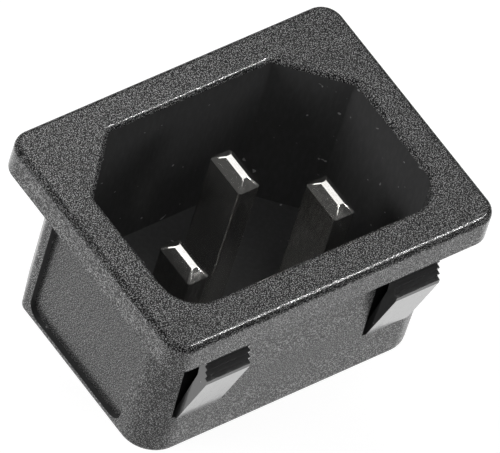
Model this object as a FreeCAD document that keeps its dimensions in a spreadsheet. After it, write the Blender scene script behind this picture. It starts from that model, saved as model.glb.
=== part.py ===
import FreeCAD, Part
import math
import os

import Sketcher

# A snap-in appliance inlet: one moulded housing and three contact pins.
#
# Frame: the origin is the centre of the flange's back face, which seats on the panel.
# +Z points out of the socket, towards the mating plug.  +X runs along the long side and
# +Y points to the side with the two cut corners, where the earth pin stands.


# ----------------------------------------------------------------------------- sizes
# Every size that can be set by itself, in millimetres unless its note says degrees.
SIZES = [
    ("flange_length", 31.0, "flange, along X"),
    ("flange_width", 23.5, "flange, along Y"),
    ("flange_thick", 2.85, "flange, along Z"),
    ("flange_corner_radius", 1.8, "upright corners of the flange"),
    ("flange_edge_radius", 0.55, "front outer edge of the flange"),
    ("body_length", 27.2, "body behind the panel, along X"),
    ("body_width", 19.7, "body behind the panel, along Y"),
    ("body_draft", 0.8, "degrees, outer walls of the body"),
    ("body_cut", 2.75, "leg of the two cut corners on the earth side"),
    ("body_cut_radius", 0.8, "upright edges of the body's cut corners"),
    ("body_corner_radius", 3.05, "two round corners on the other side"),
    ("body_rear_radius", 0.6, "rear outer edge of the body"),
    ("recess_length", 25.2, "plug recess, along X, at its mouth"),
    ("recess_width", 17.2, "plug recess, along Y, at its mouth"),
    ("recess_offset", 0.15, "recess centre, towards the earth side"),
    ("recess_depth", 16.1, "flange front face to recess floor"),
    ("floor_thick", 1.35, "rear wall, between the recess and the rear face"),
    ("recess_draft", 1.1, "degrees, walls of the recess"),
    ("recess_cut", 4.9, "leg of the recess's two cut corners"),
    ("recess_cut_radius", 0.6, "upright edges of the recess's cut corners"),
    ("recess_corner_radius", 3.1, "recess's two round corners"),
    ("recess_mouth_radius", 0.4, "rounded mouth of the recess"),
    ("panel_depth", 0.64, "sunk panel in each end wall"),
    ("panel_width", 12.35, "sunk panel, along Y"),
    ("panel_rise", 0.83, "rear face to the lower edge of the sunk panel"),
    ("panel_corner_radius", 1.3, "lower corners of the sunk panel"),
    ("latch_offset", 7.0, "centre plane to a latch arm on the round-cornered side"),
    ("earth_latch_offset", 5.8, "centre plane to a latch arm on the earth side"),
    ("latch_width", 4.15, "latch arm, along X"),
    ("latch_root", 10.2, "flange back face to the root of the arm"),
    ("latch_heel", 3.6, "flange back face to the widest part of the arm"),
    ("latch_reach", 1.72, "how far the arm stands proud of the wall"),
    ("latch_root_thick", 0.55, "arm thickness at its root"),
    ("latch_tip_thick", 1.15, "arm thickness at its widest part"),
    ("tooth_pitch", 0.54, "step from one latch tooth to the next, along Z"),
    ("tooth_step", 0.19, "step from one latch tooth to the next, along Y"),
    ("tooth_bite", 0.32, "depth of the ledge above a tooth"),
    ("tooth_land", 0.4, "flat below the widest tooth"),
    ("ledge_rise", 0.08, "slope of a ledge over its depth"),
    ("window_depth", 0.8, "clearance pocket behind an arm"),
    ("window_root", 10.0, "flange back face to the lower end of the pocket"),
    ("slot_top", 0.7, "slot beside an arm, at the flange"),
    ("slot_root", 0.35, "slot beside an arm, at its root"),
    ("boss_height", 1.2, "raised pads on the rear face, one round each tab"),
    ("boss_wall", 0.8, "pad round the root of a contact"),
    ("boss_radius", 0.6, "corners of a pad"),
    ("pin_pitch", 14.0, "left pin to right pin"),
    ("pin_row_offset", 2.0, "row of two pins and earth pin, each from the centre"),
    ("pin_width", 4.0, "blade, along Y"),
    ("pin_thick", 2.0, "blade, along X"),
    ("pin_edge_radius", 0.25, "upright edges of a blade"),
    ("pin_set_back", 3.9, "flange front face down to the left and right pin tips"),
    ("earth_set_back", 1.25, "flange front face down to the earth pin tip"),
    ("tip_height", 0.68, "bevelled end of a blade, along Z"),
    ("tip_width", 2.4, "flat end of a blade, along Y"),
    ("tip_thick", 0.56, "flat end of a blade, along X"),
    ("root_width", 5.6, "shoulder block of a contact, along Y"),
    ("root_height", 1.6, "shoulder block of a contact, along Z"),
    ("barb_proud", 0.15, "retaining barb beyond the shoulder block"),
    ("barb_height", 0.5, "one retaining barb, along Z"),
    ("tab_width", 4.8, "push-on tab, along Y"),
    ("tab_thick", 0.8, "push-on tab, along X"),
    ("tab_length", 6.8, "push-on tab, along Z"),
    ("tab_lead", 0.9, "bevelled corners at the end of a tab"),
    ("tab_hole", 1.4, "hole in a tab"),
    ("tab_hole_place", 3.2, "end of a tab to the centre of its hole"),
]

TEETH = 4       # ledges on one latch arm, one for each panel thickness it can hold


class Dim:
    """A length that knows its number and the formula that binds it to the sheet."""

    def __init__(self, number, formula):
        self.number = number
        self.formula = formula

    def __add__(self, other):
        other = dim(other)
        return Dim(self.number + other.number, f"({self.formula} + {other.formula})")

    def __sub__(self, other):
        other = dim(other)
        return Dim(self.number - other.number, f"({self.formula} - {other.formula})")

    def __mul__(self, other):
        other = dim(other)
        return Dim(self.number * other.number, f"({self.formula} * {other.formula})")

    def __truediv__(self, other):
        other = dim(other)
        return Dim(self.number / other.number, f"({self.formula} / {other.formula})")

    def __neg__(self):
        return self * -1


def dim(value):
    return value if isinstance(value, Dim) else Dim(value, f"{value:.6g}")


def tangent(angle):
    """Tangent of a size kept in degrees; the sheet's tan() also reads degrees."""
    return Dim(math.tan(math.radians(angle.number)), f"tan({angle.formula})")


SIZE = {name: Dim(number, f"Sizes.{name}") for name, number, note in SIZES}

ZERO = dim(0)
floor_level = SIZE["flange_thick"] - SIZE["recess_depth"]
rear_level = floor_level - SIZE["floor_thick"]
pad_level = rear_level - SIZE["boss_height"]
seat_level = pad_level + SIZE["root_height"]


def make_sheet(doc):
    sheet = doc.addObject("Spreadsheet::Sheet", "Sizes")
    for row, (name, number, note) in enumerate(SIZES, start=1):
        sheet.set(f"A{row}", name)
        sheet.set(f"B{row}", str(number))
        sheet.setAlias(f"B{row}", name)
        sheet.set(f"C{row}", note)
    doc.recompute()
    return sheet


# -------------------------------------------------------------------- sketch helpers
def origin_plane(body, role):
    return next(item for item in body.Origin.OriginFeatures if item.Role == role)


def add_sketch(body, name, role, offset=ZERO):
    """A sketch on one of the body's own origin planes, moved along its normal."""
    sketch = body.newObject("Sketcher::SketchObject", name)
    sketch.AttachmentSupport = (origin_plane(body, role), [""])
    sketch.MapMode = "FlatFace"
    sketch.AttachmentOffset = FreeCAD.Placement(
        FreeCAD.Vector(0, 0, offset.number), FreeCAD.Rotation())
    if offset is not ZERO:
        sketch.setExpression("AttachmentOffset.Base.z", offset.formula)
    return sketch


def place_point(sketch, edge, end, x, y):
    """Holds one end of an edge at (x, y), both bound to the sheet."""
    for kind, value in (("DistanceX", x), ("DistanceY", y)):
        number = sketch.addConstraint(
            Sketcher.Constraint(kind, -1, 1, edge, end, value.number))
        sketch.setExpression(f"Constraints[{number}]", value.formula)


def towards(corner, other, radius):
    """The point that lies one radius from a corner, towards another corner."""
    moved = []
    for here, there in zip(corner, other):
        gap = there.number - here.number
        if abs(gap) < 1e-9:
            moved.append(here)
        else:
            moved.append(here + radius if gap > 0 else here - radius)
    return tuple(moved)


def outline(sketch, corners):
    """Draws a closed outline from its corners, in order.

    A corner is (x, y) or (x, y, radius).  A corner with a radius is a right angle
    between an upright and a level side, and it becomes a tangent arc.
    """
    points = [(dim(corner[0]), dim(corner[1])) for corner in corners]
    radii = [corner[2] if len(corner) > 2 else None for corner in corners]
    entry, leave = [], []
    for index, point in enumerate(points):
        before, after = points[index - 1], points[(index + 1) % len(points)]
        radius = radii[index]
        entry.append(towards(point, before, radius) if radius else point)
        leave.append(towards(point, after, radius) if radius else point)
    sides = []
    for index in range(len(points)):
        start, stop = leave[index], entry[(index + 1) % len(points)]
        side = sketch.addGeometry(Part.LineSegment(
            FreeCAD.Vector(start[0].number, start[1].number, 0),
            FreeCAD.Vector(stop[0].number, stop[1].number, 0)))
        sides.append(side)
        place_point(sketch, side, 1, *start)
    for index, radius in enumerate(radii):
        last, following = sides[index - 1], sides[index]
        if radius is None:
            sketch.addConstraint(Sketcher.Constraint("Coincident", last, 2, following, 1))
            continue
        place_point(sketch, last, 2, *entry[index])
        first, second, corner = entry[index], leave[index], points[index]
        centre = [first[k].number + second[k].number - corner[k].number for k in (0, 1)]
        spoke_in = [first[k].number - centre[k] for k in (0, 1)]
        spoke_out = [second[k].number - centre[k] for k in (0, 1)]
        turn = spoke_in[0] * spoke_out[1] - spoke_in[1] * spoke_out[0]
        ends = (1, 2) if turn > 0 else (2, 1)
        angles = [math.atan2(spoke[1], spoke[0]) for spoke in (spoke_in, spoke_out)]
        if turn < 0:
            angles.reverse()
        if angles[1] < angles[0]:
            angles[1] += 2 * math.pi
        circle = Part.Circle(FreeCAD.Vector(centre[0], centre[1], 0),
                             FreeCAD.Vector(0, 0, 1), radius.number)
        arc = sketch.addGeometry(Part.ArcOfCircle(circle, angles[0], angles[1]))
        sketch.addConstraint(Sketcher.Constraint("Coincident", last, 2, arc, ends[0]))
        sketch.addConstraint(Sketcher.Constraint("Coincident", following, 1, arc, ends[1]))
        size = sketch.addConstraint(Sketcher.Constraint("Radius", arc, radius.number))
        sketch.setExpression(f"Constraints[{size}]", radius.formula)


def round_hole(sketch, x, y, diameter):
    hole = sketch.addGeometry(Part.Circle(
        FreeCAD.Vector(x.number, y.number, 0), FreeCAD.Vector(0, 0, 1),
        diameter.number / 2))
    place_point(sketch, hole, 3, x, y)
    size = sketch.addConstraint(Sketcher.Constraint("Diameter", hole, diameter.number))
    sketch.setExpression(f"Constraints[{size}]", diameter.formula)


# ------------------------------------------------------------------- feature helpers
def extrude(body, kind, name, sketch, length, both_ways=False, reverse=False,
            taper=None):
    """A Pad or a Pocket of one sketch, with its length bound to the sheet."""
    feature = body.newObject(f"PartDesign::{kind}", name)
    feature.Profile = sketch
    feature.Length = length.number
    feature.setExpression("Length", length.formula)
    if both_ways:
        feature.SideType = "Symmetric"
    feature.Reversed = reverse
    if taper is not None:
        feature.TaperAngle = taper.number
        feature.setExpression("TaperAngle", taper.formula)
    body.Document.recompute()
    return feature


def edges_where(shape, test):
    """Names of the edges whose points all pass a test."""
    names = []
    for number, edge in enumerate(shape.Edges, start=1):
        points = edge.discretize(5)
        if all(test(point) for point in points):
            names.append(f"Edge{number}")
    return names


def upright_edges(shape, bottom, top):
    """Names of the edges on the earth side that run from one level to the other."""
    names = []
    for number, edge in enumerate(shape.Edges, start=1):
        levels = sorted(vertex.Z for vertex in edge.Vertexes)
        if (close_to(levels[0], bottom.number) and close_to(levels[-1], top.number)
                and edge.CenterOfMass.y > 0):
            names.append(f"Edge{number}")
    return names


def round_edges(body, name, base, names, radius):
    fillet = body.newObject("PartDesign::Fillet", name)
    fillet.Base = (base, names)
    fillet.Radius = radius.number
    fillet.setExpression("Radius", radius.formula)
    body.Document.recompute()
    return fillet


def close_to(value, target):
    return abs(value - target) < 1e-4


# --------------------------------------------------------------------------- housing
def cut_corner_outline(length, width, cut, radius, shift=ZERO):
    """Six-sided socket outline: two cut corners at +Y and two round ones at -Y."""
    side = length / 2
    near = shift - width / 2
    far = shift + width / 2
    return [
        (-side, near, radius),
        (side, near, radius),
        (side, far - cut),
        (side - cut, far),
        (-(side - cut), far),
        (-side, far - cut),
    ]


def add_flange(body):
    sketch = add_sketch(body, "FlangeSketch", "XY_Plane")
    side, end = SIZE["flange_length"] / 2, SIZE["flange_width"] / 2
    corner = SIZE["flange_corner_radius"]
    outline(sketch, [(-side, -end, corner), (side, -end, corner),
                     (side, end, corner), (-side, end, corner)])
    return extrude(body, "Pad", "Flange", sketch, SIZE["flange_thick"])


def add_body_block(body):
    sketch = add_sketch(body, "BodySketch", "XY_Plane")
    outline(sketch, cut_corner_outline(SIZE["body_length"], SIZE["body_width"],
                                       SIZE["body_cut"], SIZE["body_corner_radius"]))
    return extrude(body, "Pad", "BodyBlock", sketch, -rear_level,
                   reverse=True, taper=-SIZE["body_draft"])


def round_body_edges(body, block):
    """Rounds the upright edges of the cut corners, then the edge all round the rear."""
    upright = upright_edges(block.Shape, rear_level, ZERO)
    corners = round_edges(body, "BodyCorners", block, upright, SIZE["body_cut_radius"])
    level = rear_level.number
    rear = edges_where(corners.Shape, lambda point: close_to(point.z, level))
    return round_edges(body, "RearEdge", corners, rear, SIZE["body_rear_radius"])


def cut_recess(body):
    sketch = add_sketch(body, "RecessSketch", "XY_Plane", SIZE["flange_thick"])
    outline(sketch, cut_corner_outline(SIZE["recess_length"], SIZE["recess_width"],
                                       SIZE["recess_cut"], SIZE["recess_corner_radius"],
                                       SIZE["recess_offset"]))
    recess = extrude(body, "Pocket", "Recess", sketch, SIZE["recess_depth"],
                     taper=-SIZE["recess_draft"])
    upright = upright_edges(recess.Shape, floor_level, SIZE["flange_thick"])
    return round_edges(body, "RecessCorners", recess, upright,
                       SIZE["recess_cut_radius"])


def round_front_edges(body, base):
    """Rounds the mouth of the recess, then the flange's outer front edge."""
    front = SIZE["flange_thick"].number
    half_length = SIZE["flange_length"].number / 2
    half_width = SIZE["flange_width"].number / 2
    corner = SIZE["flange_corner_radius"].number

    def on_rim(point):
        inside_x = half_length - abs(point.x)
        inside_y = half_width - abs(point.y)
        if min(inside_x, inside_y) < 1e-4:
            return True
        if max(inside_x, inside_y) > corner + 1e-4:
            return False
        return close_to(math.hypot(corner - inside_x, corner - inside_y), corner)

    inner = edges_where(base.Shape, lambda point: close_to(point.z, front)
                        and not on_rim(point))
    mouth = round_edges(body, "RecessMouth", base, inner, SIZE["recess_mouth_radius"])
    outer = edges_where(mouth.Shape, lambda point: close_to(point.z, front)
                        and on_rim(point))
    return round_edges(body, "FlangeEdge", mouth, outer, SIZE["flange_edge_radius"])


def cut_end_panel(body):
    """The sunk panel in the end wall at +X; it is open towards the flange."""
    sketch = add_sketch(body, "EndPanelSketch", "YZ_Plane", SIZE["body_length"] / 2)
    half, corner = SIZE["panel_width"] / 2, SIZE["panel_corner_radius"]
    lower = rear_level + SIZE["panel_rise"]
    outline(sketch, [(-half, ZERO), (-half, lower, corner),
                     (half, lower, corner), (half, ZERO)])
    return extrude(body, "Pocket", "EndPanel", sketch, SIZE["panel_depth"])


def cut_latch_window(body, name, side, offset):
    """The pocket that a latch arm bends into, with a slot on each side of the arm.

    The side is -1 for the wall at -Y and 1 for the wall at +Y, the earth side.
    """
    sketch = add_sketch(body, f"{name}WindowSketch", "XZ_Plane",
                        SIZE["body_width"] / 2 * -side)
    inner, outer = offset, offset + SIZE["latch_width"]
    outline(sketch, [
        (inner - SIZE["slot_root"], -SIZE["window_root"]),
        (outer + SIZE["slot_root"], -SIZE["window_root"]),
        (outer + SIZE["slot_top"], ZERO),
        (inner - SIZE["slot_top"], ZERO),
    ])
    return extrude(body, "Pocket", f"{name}Window", sketch, SIZE["window_depth"],
                   reverse=side > 0)


def latch_profile():
    """Side view of an arm, as (outward, level) points from the wall and the flange.

    The arm leaves the wall at its root, slopes out to a flat heel, and above the heel
    it steps back tooth by tooth.  Each ledge faces the flange, to catch the panel.
    """
    root, heel = -SIZE["latch_root"], -SIZE["latch_heel"]
    reach = SIZE["latch_reach"]
    lean = SIZE["latch_root"] * tangent(SIZE["body_draft"])
    points = [(-(lean + SIZE["latch_root_thick"]), root), (-lean, root), (reach, heel)]
    tip, level = reach, heel + SIZE["tooth_land"]
    for tooth in range(TEETH):
        points.append((tip, level))
        points.append((tip - SIZE["tooth_bite"], level + SIZE["ledge_rise"]))
        tip = tip - SIZE["tooth_step"]
        level = level + SIZE["tooth_pitch"]
    top = points[-1][1] + SIZE["tooth_pitch"] / 2
    inner = reach - SIZE["latch_tip_thick"]
    points.append((points[-1][0] + SIZE["ledge_rise"], top))
    points.append((inner - SIZE["tooth_step"], top))
    points.append((inner, heel))
    return points


def add_latch_arm(body, name, side, offset):
    sketch = add_sketch(body, f"{name}ArmSketch", "YZ_Plane", offset)
    wall = SIZE["body_width"] / 2
    outline(sketch, [((wall + outward) * side, level) for outward, level in latch_profile()])
    return extrude(body, "Pad", f"{name}Arm", sketch, SIZE["latch_width"])


def mirror_to_left(body, name, originals):
    """Copies features from +X to -X, across the body's centre plane."""
    mirror = body.newObject("PartDesign::Mirrored", name)
    mirror.Originals = originals
    mirror.MirrorPlane = (origin_plane(body, "YZ_Plane"), [""])
    body.Tip = mirror
    body.Document.recompute()
    return mirror


def contact_places():
    """Centre and tip level of each contact, by node name."""
    side = SIZE["pin_pitch"] / 2
    row = SIZE["pin_row_offset"]
    tip = SIZE["flange_thick"] - SIZE["pin_set_back"]
    earth_tip = SIZE["flange_thick"] - SIZE["earth_set_back"]
    return {
        "left_pin": (-side, -row, tip),
        "right_pin": (side, -row, tip),
        "earth_pin": (ZERO, row, earth_tip),
    }


def add_bosses(body):
    """Raised pads on the rear face, each as large as the root of its contact."""
    sketch = add_sketch(body, "BossSketch", "XY_Plane", rear_level)
    half_x = SIZE["pin_thick"] / 2 + SIZE["boss_wall"]
    half_y = SIZE["root_width"] / 2 + SIZE["barb_proud"] + SIZE["boss_wall"]
    corner = SIZE["boss_radius"]
    for x, y, tip in contact_places().values():
        outline(sketch, [(x - half_x, y - half_y, corner), (x + half_x, y - half_y, corner),
                         (x + half_x, y + half_y, corner), (x - half_x, y + half_y, corner)])
    return extrude(body, "Pad", "Bosses", sketch, SIZE["boss_height"], reverse=True)


def contact_outline(y, top):
    """Side view of a contact from the rear pads up: shoulder block, barbs and blade.

    The housing's slots and the contacts are both drawn from it, so they meet face
    to face.
    """
    root, blade = SIZE["root_width"] / 2, SIZE["pin_width"] / 2
    barb = root + SIZE["barb_proud"]
    middle = pad_level + SIZE["root_height"] / 2
    right = [
        (root, pad_level),
        (root, middle - SIZE["barb_height"] / 2),
        (barb, middle - SIZE["barb_height"] / 2),
        (root, middle + SIZE["barb_height"] / 2),
        (root, seat_level),
        (blade, seat_level),
        (blade, top),
    ]
    left = [(-across, level) for across, level in reversed(right)]
    return [(y + across, level) for across, level in right + left]


def cut_contact_slots(body):
    slots = []
    for name, (x, y, tip) in contact_places().items():
        sketch = add_sketch(body, f"Slot_{name}", "YZ_Plane", x)
        outline(sketch, contact_outline(y, floor_level))
        slots.append(extrude(body, "Pocket", f"Seat_{name}", sketch, SIZE["pin_thick"],
                             both_ways=True))
    return slots[-1]


def make_housing(doc):
    body = doc.addObject("PartDesign::Body", "Housing")
    body.Label = "housing"
    add_flange(body)
    block = add_body_block(body)
    round_body_edges(body, block)
    recess = cut_recess(body)
    round_front_edges(body, recess)
    mirror_to_left(body, "EndPanels", [cut_end_panel(body)])
    for name, side, offset in (("Latch", -1, SIZE["latch_offset"]),
                               ("EarthLatch", 1, SIZE["earth_latch_offset"])):
        window = cut_latch_window(body, name, side, offset)
        arm = add_latch_arm(body, name, side, offset)
        mirror_to_left(body, f"{name}Pair", [window, arm])
    add_bosses(body)
    body.Tip = cut_contact_slots(body)
    doc.recompute()
    return body


# -------------------------------------------------------------------------- contacts
def add_blade(body, blade_top):
    sketch = add_sketch(body, "BladeSketch", "YZ_Plane")
    outline(sketch, contact_outline(ZERO, blade_top))
    blade = extrude(body, "Pad", "Blade", sketch, SIZE["pin_thick"], both_ways=True)
    half_thick, half_wide = SIZE["pin_thick"].number / 2, SIZE["pin_width"].number / 2

    def on_blade_edge(point):
        return (close_to(abs(point.x), half_thick) and close_to(abs(point.y), half_wide)
                and point.z > seat_level.number - 1e-4)

    names = edges_where(blade.Shape, on_blade_edge)
    return round_edges(body, "BladeEdges", blade, names, SIZE["pin_edge_radius"])


def rounded_rectangle(length_y, length_x, radius):
    across, along = length_x / 2, length_y / 2
    return [(-across, -along, radius), (across, -along, radius),
            (across, along, radius), (-across, along, radius)]


def add_blade_tip(body, blade_top):
    """The four bevels that lead a blade into the plug."""
    radius = SIZE["pin_edge_radius"]
    foot = add_sketch(body, "TipFoot", "XY_Plane", blade_top)
    outline(foot, rounded_rectangle(SIZE["pin_width"], SIZE["pin_thick"], radius))
    head = add_sketch(body, "TipHead", "XY_Plane", blade_top + SIZE["tip_height"])
    outline(head, rounded_rectangle(SIZE["tip_width"], SIZE["tip_thick"], radius / 2))
    tip = body.newObject("PartDesign::AdditiveLoft", "Tip")
    tip.Profile = foot
    tip.Sections = [head]
    tip.Ruled = True
    body.Document.recompute()
    return tip


def add_tab(body):
    sketch = add_sketch(body, "TabSketch", "YZ_Plane")
    half, lead = SIZE["tab_width"] / 2, SIZE["tab_lead"]
    end = pad_level - SIZE["tab_length"]
    outline(sketch, [(half, pad_level), (-half, pad_level), (-half, end + lead),
                     (-(half - lead / 2), end), (half - lead / 2, end), (half, end + lead)])
    round_hole(sketch, ZERO, end + SIZE["tab_hole_place"], SIZE["tab_hole"])
    return extrude(body, "Pad", "Tab", sketch, SIZE["tab_thick"], both_ways=True)


def make_contact(doc, name, x, y, tip):
    """Blade, shoulder block and push-on tab in one piece, drawn about its own axis."""
    body = doc.addObject("PartDesign::Body", name.title().replace("_", ""))
    body.Label = name
    blade_top = tip - SIZE["tip_height"]
    add_blade(body, blade_top)
    add_blade_tip(body, blade_top)
    body.Tip = add_tab(body)
    body.Placement = FreeCAD.Placement(
        FreeCAD.Vector(x.number, y.number, 0), FreeCAD.Rotation())
    body.setExpression("Placement.Base.x", x.formula)
    body.setExpression("Placement.Base.y", y.formula)
    doc.recompute()
    return body


# ---------------------------------------------------------------------------- export
def check(doc, bodies):
    for item in doc.Objects:
        if "Invalid" in item.State or "Error" in item.State:
            raise RuntimeError(f"{item.Name} did not build: {item.State}")
    for body in bodies:
        if body.Shape.isNull() or not body.Shape.isValid():
            raise RuntimeError(f"{body.Label} has no valid shape")
        if len(body.Shape.Solids) != 1:
            raise RuntimeError(f"{body.Label} has {len(body.Shape.Solids)} solids")


def main():
    doc = FreeCAD.newDocument("inlet_socket")
    make_sheet(doc)
    bodies = [make_housing(doc)]
    for name, (x, y, tip) in contact_places().items():
        bodies.append(make_contact(doc, name, x, y, tip))
    doc.recompute()
    check(doc, bodies)
    os.makedirs("parts", exist_ok=True)
    for body in bodies:
        body.Shape.exportStep(f"parts/{body.Label}.step")
        box = body.Shape.optimalBoundingBox()
        print(f"{body.Label}: volume {body.Shape.Volume:.2f} mm3,"
              f" x {box.XMin:.2f} {box.XMax:.2f}, y {box.YMin:.2f} {box.YMax:.2f},"
              f" z {box.ZMin:.2f} {box.ZMax:.2f}")


main()
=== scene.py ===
# %% [markdown]
# # A snap-in appliance inlet
# This lesson dresses a finished CAD model of a small mains inlet: the socket on the back of
# an appliance that a cord set plugs into.  It has a black plastic housing, moulded in one
# piece with its flange and its snap latches, and nickel-plated contact pins.
#
# The shape is already right, so the lesson is about surfaces: which faces the mould maker
# left polished, which were spark-eroded to a coarse or a fine grain, and what light each
# one returns.
# Lengths are in metres, because the model is loaded at real size.

import math

import bmesh
import bpy
from mathutils import Matrix, Vector


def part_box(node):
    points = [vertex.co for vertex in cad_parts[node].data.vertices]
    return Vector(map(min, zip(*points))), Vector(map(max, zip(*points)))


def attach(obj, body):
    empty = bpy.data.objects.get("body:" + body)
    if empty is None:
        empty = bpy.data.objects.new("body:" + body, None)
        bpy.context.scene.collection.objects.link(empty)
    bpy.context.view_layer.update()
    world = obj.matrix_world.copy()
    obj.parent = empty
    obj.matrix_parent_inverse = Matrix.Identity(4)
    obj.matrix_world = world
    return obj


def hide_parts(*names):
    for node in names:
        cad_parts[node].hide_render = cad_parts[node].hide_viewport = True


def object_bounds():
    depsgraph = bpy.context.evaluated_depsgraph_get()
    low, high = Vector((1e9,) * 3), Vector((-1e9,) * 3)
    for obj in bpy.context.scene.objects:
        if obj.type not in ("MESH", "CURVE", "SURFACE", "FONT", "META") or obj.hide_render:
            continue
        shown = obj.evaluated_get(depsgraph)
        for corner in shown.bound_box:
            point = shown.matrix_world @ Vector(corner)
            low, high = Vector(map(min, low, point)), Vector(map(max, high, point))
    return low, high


MM = 0.001

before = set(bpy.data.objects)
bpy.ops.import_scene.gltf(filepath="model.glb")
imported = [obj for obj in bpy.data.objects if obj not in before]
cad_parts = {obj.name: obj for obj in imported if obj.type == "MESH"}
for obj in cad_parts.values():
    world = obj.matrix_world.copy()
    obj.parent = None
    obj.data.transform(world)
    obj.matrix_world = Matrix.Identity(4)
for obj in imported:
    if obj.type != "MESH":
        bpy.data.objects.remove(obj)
cad_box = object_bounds()
print("CAD box in mm:", [[round(value / MM, 2) for value in corner] for corner in cad_box])


# %% [markdown]
# ## Clean copies of the CAD pieces
# CAD pieces arrive as loose triangles, so a round corner shows its flats.  A copy with its
# points merged can be shaded smooth.  Merging flat neighbours into one face then stops
# thin triangles from dragging the shading of a round across the flat beside it.  A remesh
# would give even faces too, but it would soften the crisp edges that a mould leaves.

# %% A helper that copies one piece
MERGE_GAP = 0.002 * MM      # points closer than this become one
FLAT_DEGREES = 0.4          # neighbours that turn less than this become one face


def clean_copy(node, name, sharp_degrees=40):
    """Copies a CAD piece, merges its points and its flat faces, and marks sharp edges."""
    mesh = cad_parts[node].data.copy()
    mesh.name = name
    mesh.materials.clear()
    piece = bpy.data.objects.new(name, mesh)
    bpy.context.scene.collection.objects.link(piece)
    shape = bmesh.new()
    shape.from_mesh(mesh)
    bmesh.ops.remove_doubles(shape, verts=shape.verts, dist=MERGE_GAP)
    bmesh.ops.dissolve_limit(shape, angle_limit=math.radians(FLAT_DEGREES),
                             verts=shape.verts, edges=shape.edges)
    for face in shape.faces:
        face.smooth = True
    for edge in shape.edges:
        if len(edge.link_faces) == 2:
            edge.smooth = edge.calc_face_angle() < math.radians(sharp_degrees)
    shape.to_mesh(mesh)
    loose = sum(1 for edge in shape.edges if len(edge.link_faces) != 2)
    print(f"{name}: {len(shape.faces)} faces, {loose} open edges")
    shape.free()
    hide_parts(node)
    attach(piece, "root")
    return piece


def even_shading(piece):
    """Lets the large faces set the normals, so flats stay flat beside their rounds."""
    weighted = piece.modifiers.new("Even shading", "WEIGHTED_NORMAL")
    weighted.mode = "FACE_AREA"
    weighted.weight = 100
    weighted.keep_sharp = True


# %% [markdown]
# ## Node helpers
# Every material here is a small graph of nodes.  A few helpers keep the graphs short.
# One joins a socket to another node or sets its value, and one adds a node and feeds its
# sockets.  The others each stand for one common step: a sum, a soft mask, a value chosen
# by a mask, and a colour chosen by a mask.

# %% Helpers that add and feed nodes
def feed(tree, socket, value):
    """Joins a socket to another node's output, or sets it to a plain value."""
    if isinstance(value, bpy.types.NodeSocket):
        tree.links.new(value, socket)
    else:
        socket.default_value = value


def add_node(tree, kind, settings=None, **sockets):
    """Adds a node, sets its settings, and feeds its sockets by name."""
    node = tree.nodes.new(kind)
    for name, value in (settings or {}).items():
        setattr(node, name, value)
    for name, value in sockets.items():
        feed(tree, node.inputs[name.replace("_", " ")], value)
    return node


# %% Helpers for the common steps
def arithmetic(tree, operation, first, second):
    """Joins two values by one operation.  Each is a number or another node's output."""
    node = add_node(tree, "ShaderNodeMath", {"operation": operation})
    feed(tree, node.inputs[0], first)
    feed(tree, node.inputs[1], second)
    return node.outputs[0]


def soft_mask(tree, value, low, high):
    """Gives 0 below low and 1 above high, with a soft change between them."""
    node = add_node(tree, "ShaderNodeMapRange", {"interpolation_type": "SMOOTHSTEP"},
                    Value=value, From_Min=low, From_Max=high)
    return node.outputs["Result"]


def value_by_mask(tree, mask, low, high):
    """Gives low where the mask is 0 and high where it is 1."""
    node = add_node(tree, "ShaderNodeMapRange", Value=mask, To_Min=low, To_Max=high)
    return node.outputs["Result"]


def colour_by_mask(tree, mask, first, second):
    """Mixes two colours by a mask.  Sockets 0, 6 and 7 are the colour mix's own."""
    node = add_node(tree, "ShaderNodeMix", {"data_type": "RGBA"})
    for number, value in ((0, mask), (6, first), (7, second)):
        feed(tree, node.inputs[number], value)
    return node.outputs[2]


# %% [markdown]
# ## Grain from the mould
# The outer faces carry a grain.  The mould's steel was eroded by sparks, which left tiny
# overlapping craters about a tenth of a millimetre across, and the plastic copied them.
# A shared node group gives the grain's height, a mask of the crater rims that catch the
# light as glints, and a slow cloud of wear.  Image textures could do this too, but noise
# in object space wraps round every corner with no seams.

# %% The grain as a node group
def new_group(name, inputs, outputs):
    """Starts a node group of numbers.  Gives it, both its ends and a place to read."""
    group = bpy.data.node_groups.new(name, "ShaderNodeTree")
    for label, value in inputs.items():
        socket = group.interface.new_socket(label, in_out="INPUT",
                                            socket_type="NodeSocketFloat")
        socket.default_value = value
    for label in outputs:
        group.interface.new_socket(label, in_out="OUTPUT", socket_type="NodeSocketFloat")
    start = group.nodes.new("NodeGroupInput")
    end = group.nodes.new("NodeGroupOutput")
    place = group.nodes.new("ShaderNodeTexCoord").outputs["Object"]
    return group, start.outputs, end.inputs, place


grain, given, result, place = new_group(
    "Moulded grain", {"Scale": 9700.0, "Glint Level": 0.5}, ("Height", "Glint", "Cloud"))
PIT_SHARE = 0.5         # how much the round pits add to the rough height
RIM_SCALE = 1.2         # crater rims are a little finer than the craters
CLOUD_SCALE = 0.02      # wear changes over millimetres
craters = add_node(grain, "ShaderNodeTexNoise", Vector=place, Scale=given["Scale"],
                   Detail=3.0, Roughness=0.62).outputs["Fac"]
pits = add_node(grain, "ShaderNodeTexVoronoi", {"feature": "SMOOTH_F1"}, Vector=place,
                Scale=given["Scale"], Smoothness=0.35).outputs["Distance"]
pits = arithmetic(grain, "MULTIPLY", pits, PIT_SHARE)
feed(grain, result["Height"], arithmetic(grain, "ADD", craters, pits))
rims = add_node(grain, "ShaderNodeTexNoise", Vector=place, Detail=1.0, Roughness=0.5,
                Scale=arithmetic(grain, "MULTIPLY", given["Scale"], RIM_SCALE))
above = arithmetic(grain, "SUBTRACT", rims.outputs["Fac"], given["Glint Level"])
feed(grain, result["Glint"], soft_mask(grain, above, 0.0, 0.18))
cloud = add_node(grain, "ShaderNodeTexNoise", Vector=place, Detail=3.0,
                 Scale=arithmetic(grain, "MULTIPLY", given["Scale"], CLOUD_SCALE))
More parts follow.
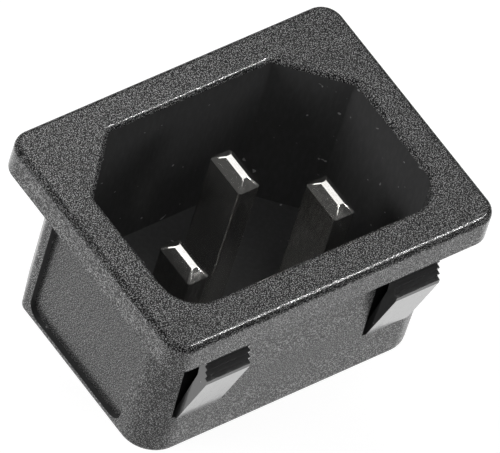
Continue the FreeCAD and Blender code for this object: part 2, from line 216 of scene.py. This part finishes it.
feed(grain, result["Cloud"], soft_mask(grain, cloud.outputs["Fac"], 0.3, 0.7))
print("grain group:", [item.name for item in grain.interface.items_tree])


# %% [markdown]
# ## Dust and handling
# Polished plastic is rarely clean: a few specks of dust sit on it, and hair-fine rubs
# cross it.  Tiny loose meshes could stand for the dust, but a mask lies on every face at
# no cost.  The polished plastic takes both marks, and the metal only the rubs.

# %% Dust and rubs as a node group
handling, given, result, place = new_group(
    "Dust and rubs", {"Speck Scale": 1500.0, "Speck Level": 0.735}, ("Speck", "Rub"))
specks = add_node(handling, "ShaderNodeTexNoise", Vector=place,
                  Scale=given["Speck Scale"], Detail=1.0).outputs["Fac"]
above = arithmetic(handling, "SUBTRACT", specks, given["Speck Level"])
feed(handling, result["Speck"], soft_mask(handling, above, 0.0, 0.05))
turned = add_node(handling, "ShaderNodeMapping", Vector=place,
                  Rotation=(0.3, 0.5, 0.9), Scale=(1.0, 1.0, 0.3))
rubs = add_node(handling, "ShaderNodeTexNoise", Vector=turned.outputs["Vector"],
                Scale=3200.0, Detail=2.0).outputs["Fac"]
feed(handling, result["Rub"], soft_mask(handling, rubs, 0.35, 0.75))
print("handling group:", [item.name for item in handling.interface.items_tree])


# %% [markdown]
# ## Materials
# One black plastic has three finishes.  The coarse grain of the flange and the fine grain
# of the body scatter light, and their crater rims are painted light grey as painted glints,
# so they look grey.  The polished finish, inside the socket and on the latches, stays dark
# until it mirrors something bright.  All three could be one material with masks, but a
# mould maker thinks in finishes, and so does this cell.

# %% A helper that starts a material
def new_material(name):
    """Starts a material, and gives its node tree and its shader."""
    material = bpy.data.materials.new(name)
    material.use_nodes = True
    tree = material.node_tree
    return material, tree, tree.nodes["Principled BSDF"]


def place_group(tree, group, **values):
    """Adds a shared group to a material's tree, and gives its outputs."""
    return add_node(tree, "ShaderNodeGroup", {"node_tree": group}, **values).outputs


def add_bump(tree, shader, height, strength, depth):
    """Tilts the surface as a relief of this depth would, and leaves the mesh alone."""
    bump = add_node(tree, "ShaderNodeBump", Height=height, Strength=strength,
                    Distance=depth)
    feed(tree, shader.inputs["Normal"], bump.outputs["Normal"])


# %% Coarse and fine grain
PLASTIC = (0.012, 0.012, 0.0125, 1)
WORN_PLASTIC = (0.018, 0.018, 0.0185, 1)
BED_SHEEN, RIM_SHEEN = 0.16, 1.0


def grained_plastic(name, scale, depth, rim_level, painted_glint_grey, bed_rough, rim_rough):
    """Black plastic with a grain of one depth.  Crater rims shine and get a painted glint
    grey, their beds stay dull.
    """
    material, tree, shader = new_material(name)
    texture = place_group(tree, grain, Scale=scale, Glint_Level=rim_level)
    rims = texture["Glint"]
    tone = colour_by_mask(tree, texture["Cloud"], PLASTIC, WORN_PLASTIC)
    # The crater rims are painted light grey: a painted glint, on top of their real lower
    # roughness and stronger specular.
    feed(tree, shader.inputs["Base Color"],
         colour_by_mask(tree, rims, tone, (painted_glint_grey, painted_glint_grey, painted_glint_grey, 1)))
    feed(tree, shader.inputs["Roughness"],
         value_by_mask(tree, rims, bed_rough, rim_rough))
    feed(tree, shader.inputs["Specular IOR Level"],
         value_by_mask(tree, rims, BED_SHEEN, RIM_SHEEN))
    add_bump(tree, shader, texture["Height"], 1.0, depth)
    print(name, "has", len(tree.nodes), "nodes")
    return material


coarse_grain = grained_plastic("coarse_grain", scale=9700.0, depth=0.008 * MM,
                               rim_level=0.5, painted_glint_grey=0.56,
                               bed_rough=0.24, rim_rough=0.14)
fine_grain = grained_plastic("fine_grain", scale=9000.0, depth=0.004 * MM,
                             rim_level=0.5, painted_glint_grey=0.38,
                             bed_rough=0.32, rim_rough=0.28)

# %% Polished plastic
POLISH = (0.084, 0.084, 0.085, 1)
RUBBED_POLISH = (0.095, 0.095, 0.096, 1)
DUST = (0.45, 0.45, 0.45, 1)

polished, tree, shader = new_material("polished_plastic")
marks = place_group(tree, handling)
shine = colour_by_mask(tree, marks["Rub"], POLISH, RUBBED_POLISH)
feed(tree, shader.inputs["Base Color"],
     colour_by_mask(tree, marks["Speck"], shine, DUST))
feed(tree, shader.inputs["Roughness"], value_by_mask(tree, marks["Rub"], 0.08, 0.15))
add_bump(tree, shader, marks["Rub"], 0.1, 0.003 * MM)
print("polished plastic:", len(tree.nodes), "nodes")


# %% [markdown]
# ## Nickel-plated contacts
# The pins and tabs are stamped from brass strip and plated.  Plating follows the rolled
# surface, so faint lines run along the strip, from the tab's end to the pin's tip.  Noise
# that is stretched along the strip draws them.  Shading that bends reflections one way
# could do it too, but here the lines themselves can be seen from close by.

# %% Nickel plate
NICKEL = (0.74, 0.73, 0.70, 1)
BRIGHT_NICKEL = (0.82, 0.81, 0.78, 1)
ALONG_STRIP = (1.0, 1.0, 0.03)      # stretches the pattern along the strip

nickel, tree, shader = new_material("nickel_plate")
place = add_node(tree, "ShaderNodeTexCoord").outputs["Object"]
along = add_node(tree, "ShaderNodeMapping", Vector=place, Scale=ALONG_STRIP)
rolled = add_node(tree, "ShaderNodeTexNoise", Vector=along.outputs["Vector"],
                  Scale=6000.0, Detail=3.0).outputs["Fac"]
feed(tree, shader.inputs["Base Color"],
     colour_by_mask(tree, rolled, NICKEL, BRIGHT_NICKEL))
shader.inputs["Metallic"].default_value = 0.95
rubs = place_group(tree, handling)["Rub"]
feed(tree, shader.inputs["Roughness"], value_by_mask(tree, rubs, 0.12, 0.26))
add_bump(tree, shader, rolled, 0.25, 0.003 * MM)
print("nickel plate:", len(tree.nodes), "nodes")


# %% [markdown]
# ## The housing
# The housing is one moulding with three finishes, so its faces are sorted between three
# material slots.  The flange, with its rim and the rounded mouth of the socket, is what
# people see, and has the coarse grain.  The body's walls have the fine one.  The socket,
# the latches, the pockets behind them and the steps round the end panels come from
# polished steel.  The sorting reads each face's place on the moulding, because a face
# can't be picked by its number: that would change with every new model.

# %% Sort the housing's faces between the finishes
housing = clean_copy("housing", "housing_moulding")
for finish in (coarse_grain, fine_grain, polished):
    housing.data.materials.append(finish)
COARSE, FINE, POLISHED = range(3)

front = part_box("housing")[1][2]
MOUTH = 0.42 * MM           # front face to the lower edge of the socket's rounded mouth
WALL = 9.85 * MM            # centre plane to the long outer walls
END = 13.6 * MM             # centre plane to the end walls
BEHIND_FLANGE = -0.01 * MM  # the flange's back face is at 0
SOCKET = (12.65 * MM, 8.9 * MM)     # centre planes to just outside the socket's walls
SOCKET_CORNER = 19 * MM     # x plus y, between the cut corners of socket and body
SOCKET_FLOOR = -13.4 * MM   # just below the socket's floor
LATCHES = (4 * MM, 12 * MM)     # the span of a latch and its pocket, from the middle
LATCH_TOP, LATCH_ROOT = -0.05 * MM, -10.3 * MM      # heights of its two ends
POCKET = 0.9 * MM           # a little more than a pocket's depth
PANEL_SIDE = 6.4 * MM       # centre plane to just outside a sunk panel
PANEL_FOOT = -14 * MM       # just below a sunk panel


def in_socket(middle):
    """True inside the recess, up to its mouth, and false on the body's cut corners."""
    along, across = abs(middle.x), abs(middle.y)
    return (along < SOCKET[0] and across < SOCKET[1]
            and along + across < SOCKET_CORNER and middle.z > SOCKET_FLOOR)


def in_latch_zone(middle):
    """True round the four latches and the pockets that they spring back into."""
    return (LATCHES[0] < abs(middle.x) < LATCHES[1] and abs(middle.y) > WALL - POCKET
            and LATCH_ROOT < middle.z < LATCH_TOP)


def on_outer_wall(middle, normal):
    """True on a long wall, and on the upright rounds and cuts at its ends."""
    flat = (abs(abs(normal.y) - 1) < 0.0005
            and WALL - 0.5 * MM < abs(middle.y) < WALL + 0.05 * MM)
    slanted = min(abs(normal.x), abs(normal.y)) > 0.05 and abs(normal.z) < 0.1
    return flat or slanted


def finish_of(face):
    """Chooses a finish from a face's place on the moulding and the way it faces."""
    middle, normal = face.calc_center_median(), face.normal
    if in_socket(middle):
        return POLISHED if middle.z < front - MOUTH else COARSE
    if middle.z > BEHIND_FLANGE:
        return COARSE
    if in_latch_zone(middle) and not on_outer_wall(middle, normal):
        return POLISHED
    panel_step = (END - POCKET < abs(middle.x) and abs(normal.x) < 0.5
                  and abs(middle.y) < PANEL_SIDE and middle.z > PANEL_FOOT)
    return POLISHED if panel_step else FINE


# %% Give each face its finish
LATCH_SHARP_DEGREES = 8     # the bends of a latch are slight, and have to stay crisp

counts = [0, 0, 0]
shape = bmesh.new()
shape.from_mesh(housing.data)
for face in shape.faces:
    face.material_index = finish_of(face)
    counts[face.material_index] += 1
for edge in shape.edges:
    finishes = {face.material_index for face in edge.link_faces}
    centre = (edge.verts[0].co + edge.verts[1].co) / 2
    if POLISHED in finishes and in_latch_zone(centre):
        edge.smooth = edge.calc_face_angle(0.0) < math.radians(LATCH_SHARP_DEGREES)
shape.to_mesh(housing.data)
shape.free()
even_shading(housing)
print("faces with coarse grain, fine grain and polish:", counts)


# %% [markdown]
# ## The contacts
# Each contact is one piece of strip: a bevelled blade in the socket, and a push-on tab
# behind.  It could be built again from a box with bevels, but the CAD shape is right, so
# a clean copy only gets its plating.

# %% Plate the contacts
for node in ("left_pin", "right_pin", "earth_pin"):
    contact = clean_copy(node, node + "_plated", sharp_degrees=36)
    contact.data.materials.append(nickel)
    even_shading(contact)


# %% [markdown]
# ## Floor
# The inlet stands on its tabs on a white table, which takes its soft shadow.  Seen
# directly, the table has a little glow of its own, so that it fades to white without more
# light on the object.  In reflections it glows near the inlet, and under it the glow is cut
# out as a painted shadow, where a real table lies in shadow.  A floor that only catches
# shadows would be simpler, but the plastic's lower walls get most of their grey from the
# table that they mirror.

# %% A flat table under the tabs
TABLE_REACH = 1.5           # metres from the middle to each side

table_shape = bmesh.new()
bmesh.ops.create_grid(table_shape, x_segments=1, y_segments=1, size=TABLE_REACH)
bmesh.ops.translate(table_shape, verts=table_shape.verts, vec=(0, 0, cad_box[0][2]))
table_mesh = bpy.data.meshes.new("table")
table_shape.to_mesh(table_mesh)
table_shape.free()
table = bpy.data.objects.new("table", table_mesh)
bpy.context.scene.collection.objects.link(table)


# %% The table's white and its glow
SEEN_GLOW, MIRRORED_GLOW = 0.93, 1.42
BODY_REACH = (14 * MM, 11 * MM)     # the ground that the body stands over
GLOW_NEAR, GLOW_FAR = 0.06, 0.13    # the mirrored glow fades out between these

table_white, tree, shader = new_material("table_white")
shader.inputs["Base Color"].default_value = (0.28, 0.28, 0.28, 1)
shader.inputs["Roughness"].default_value = 0.9
shader.inputs["Specular IOR Level"].default_value = 0.0
shader.inputs["Emission Color"].default_value = (1, 1, 1, 1)
place = add_node(tree, "ShaderNodeTexCoord").outputs["Object"]
distance = add_node(tree, "ShaderNodeVectorMath", {"operation": "LENGTH"}, Vector=place)
under_body = add_node(tree, "ShaderNodeMapping", Vector=place,
                      Scale=(1 / BODY_REACH[0], 1 / BODY_REACH[1], 0.0))
footprint = add_node(tree, "ShaderNodeVectorMath", {"operation": "LENGTH"},
                     Vector=under_body.outputs["Vector"])
# The glow seen in reflections is cut out under the body as a painted shadow, and fades out
# far from the inlet.
lit = arithmetic(tree, "MULTIPLY", soft_mask(tree, footprint.outputs["Value"], 0.3, 1.0),
                 soft_mask(tree, distance.outputs["Value"], GLOW_FAR, GLOW_NEAR))
ray = tree.nodes.new("ShaderNodeLightPath").outputs
mirrored = arithmetic(tree, "MAXIMUM", ray["Is Glossy Ray"], ray["Is Transmission Ray"])
mirrored = arithmetic(tree, "MULTIPLY", mirrored, lit)
glow = arithmetic(tree, "ADD",
                  arithmetic(tree, "MULTIPLY", ray["Is Camera Ray"], SEEN_GLOW),
                  arithmetic(tree, "MULTIPLY", mirrored, MIRRORED_GLOW))
feed(tree, shader.inputs["Emission Strength"], glow)
table_mesh.materials.append(table_white)
print("table at", round(cad_box[0][2] / MM, 2), "mm")


# %% [markdown]
# ## Light
# A white tent gives a little even light.  One soft lamp is what the pin tips and the
# grain mirror.  A long one beside it draws a line along the rounded edges, and lights
# nothing else.  A small one near the socket lights the flange's far part.  Three fills
# light the socket and the two near walls, and leave no reflection of their own.  One
# picture of a whole studio could light the scene too, but named lamps can be tuned one
# by one.

# %% The tent
TENT_LIGHT = 0.06           # what the tent gives; the camera sees it as full white

world = bpy.data.worlds.new("tent")
bpy.context.scene.world = world
world.use_nodes = True
tree = world.node_tree
background = tree.nodes["Background"]
background.inputs["Color"].default_value = (1, 1, 1, 1)
ray = tree.nodes.new("ShaderNodeLightPath").outputs
feed(tree, background.inputs["Strength"],
     value_by_mask(tree, ray["Is Camera Ray"], TENT_LIGHT, 1.0))


# %% Lamps
def soft_lamp(name, place, width, length, watts, mirrored=True, spread=True):
    """An oval lamp that faces the inlet.  It can be only a reflection or have none."""
    data = bpy.data.lights.new(name, "AREA")
    data.shape = "ELLIPSE"
    data.size, data.size_y = width, length
    data.energy = watts
    lamp = bpy.data.objects.new(name, data)
    lamp.location = place
    lamp.rotation_euler = Vector(place).to_track_quat("Z", "Y").to_euler()
    lamp.visible_camera = False
    lamp.visible_glossy = mirrored
    lamp.visible_diffuse = spread
    bpy.context.scene.collection.objects.link(lamp)
    print(name, "at", [round(v, 2) for v in place], "m,", watts, "W")


soft_lamp("top_lamp", (0.289, 0.251, 0.462), width=0.20, length=0.20, watts=0.11)
soft_lamp("edge_lamp", (0.289, -0.036, 0.520), width=0.34, length=0.05, watts=2.8,
          spread=False)
soft_lamp("far_lamp", (0.042, 0.093, 0.1155), width=0.07, length=0.07, watts=0.022)
soft_lamp("recess_fill", (-0.08, -0.20, 0.56), width=0.50, length=0.50, watts=0.42,
          mirrored=False)
soft_lamp("left_fill", (-0.50, 0.25, 0.22), width=0.30, length=0.30, watts=1.4,
          mirrored=False)
soft_lamp("near_fill", (0.25, -0.50, 0.22), width=0.30, length=0.30, watts=0.7,
          mirrored=False)


# %% [markdown]
# ## Camera
# A long lens far away keeps parallel edges nearly parallel.  A short lens close by would
# swell the near corner.  The camera looks down at the corner between the left end and
# the near side, and leans a little to one side.

# %% Camera
FOCAL_MM = 1217.1
DISTANCE = 1.3              # metres from the point aimed at

back = Vector((-0.4820, -0.4177, 0.7702)).normalized()
up = Vector((0.3505, 0.7137, 0.6064))
up = (up - back * up.dot(back)).normalized()
right = up.cross(back)
aim = Vector((-0.614, -1.679, -1.294)) * MM
lens = bpy.data.cameras.new("camera")
lens.sensor_width = 36
lens.lens = FOCAL_MM
lens.clip_end = 10
camera = bpy.data.objects.new("camera", lens)
turn = Matrix((right, up, back)).transposed().to_4x4()
camera.matrix_world = Matrix.Translation(aim + back * DISTANCE) @ turn
bpy.context.scene.collection.objects.link(camera)
bpy.context.scene.camera = camera
bpy.context.scene.view_settings.view_transform = "Standard"
print("camera at", [round(v, 4) for v in camera.location])
